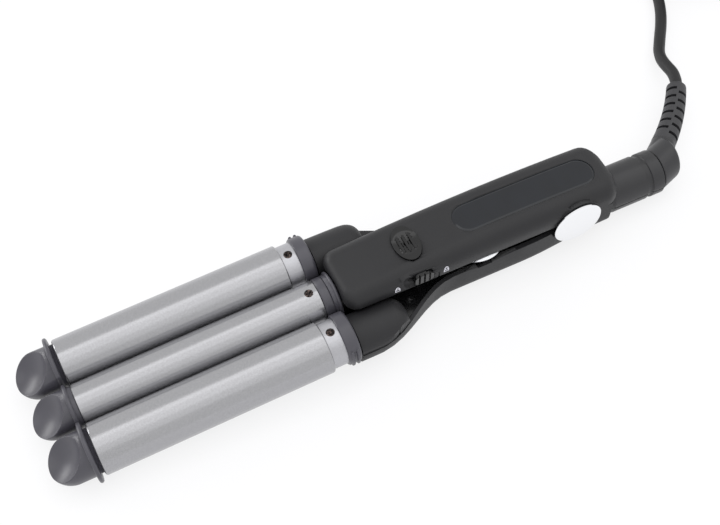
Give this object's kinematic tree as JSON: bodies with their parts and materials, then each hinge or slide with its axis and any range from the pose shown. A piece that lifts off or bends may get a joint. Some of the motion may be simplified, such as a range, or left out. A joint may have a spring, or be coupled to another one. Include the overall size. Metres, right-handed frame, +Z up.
{
  "type": "hair waver",
  "caption": "Hair waver with parallel heated barrels on two hinged arms, a sliding lock, a temperature wheel and a swivel mains cord.",
  "frame": {"origin": "under the middle of the tool, without strain relief and cord, on the surface it lies on", "axes": "+X from the barrel tips towards the cord, +Z up, -Y the side with the lock and the wheel"},
  "size_m": [0.4607, 0.2266, 0.0363],
  "materials": {
    "shell_matte": "fine matte",
    "cover_gloss": "polished",
    "cap_plastic": "satin",
    "barrel_coating": "satin metallic",
    "neck_metal": "satin",
    "chrome": "mirror",
    "steel": "plain",
    "dark_steel": "blackened",
    "heater": "plain",
    "board": "plain",
    "cord": "satin"
  },
  "bodies": {
    "lower_arm": {"lower_shell": "shell_matte", "lower_inner_cover": "cover_gloss", "left_pod_cover": "shell_matte", "right_pod_cover": "shell_matte", "left_barrel": "barrel_coating", "right_barrel": "barrel_coating", "left_neck_tube": "neck_metal", "right_neck_tube": "neck_metal", "left_collar": "cap_plastic", "right_collar": "cap_plastic", "left_tip": "cap_plastic", "right_tip": "cap_plastic", "left_heater": "heater", "right_heater": "heater", "left_neck_screw": "dark_steel", "right_neck_screw": "dark_steel", "left_cover_screw": "dark_steel", "right_cover_screw": "dark_steel", "hub_lower_half": "shell_matte", "hub_upper_half": "shell_matte", "hinge_bracket": "steel", "hinge_pin": "steel", "left_hinge_cap": "chrome", "right_hinge_cap": "shell_matte", "opening_spring": "steel", "control_board": "board"},
    "upper_arm": {"upper_shell": "shell_matte", "upper_inner_cover": "cover_gloss", "nameplate": "cover_gloss", "thumb_rest": "cover_gloss", "middle_barrel": "barrel_coating", "middle_collar": "cap_plastic", "middle_tip": "cap_plastic", "middle_heater": "heater", "middle_neck_screw": "dark_steel"},
    "lock": {"lock_slider": "cover_gloss"},
    "wheel": {"temperature_dial": "chrome"},
    "swivel": {"swivel_elbow": "shell_matte", "strain_relief": "cord", "cord_lead": "cord", "cord_coil": "cord", "cord_tail": "cord", "plug_body": "cord", "left_plug_pin": "steel", "right_plug_pin": "steel"}
  },
  "joints": [
    {"name": "arm_hinge", "type": "hinge", "parent": "lower_arm", "child": "upper_arm", "pos_m": [0.08611, 0, 0.0228], "axis": [0, 1, 0], "range_deg": [0, 10]},
    {"name": "lock_slide", "type": "slide", "parent": "upper_arm", "child": "lock", "axis": [-1, 0, 0], "range_m": [0, 0.0044]},
    {"name": "dial_turn", "type": "hinge", "parent": "lower_arm", "child": "wheel", "pos_m": [0.04131, -0.0033, 0.022], "axis": [0, 0, 1], "range_deg": [0, 270]},
    {"name": "cord_swivel", "type": "hinge", "parent": "lower_arm", "child": "swivel", "pos_m": [0.12611, 0, 0.011], "axis": [1, 0, 0], "continuous": true}
  ]
}
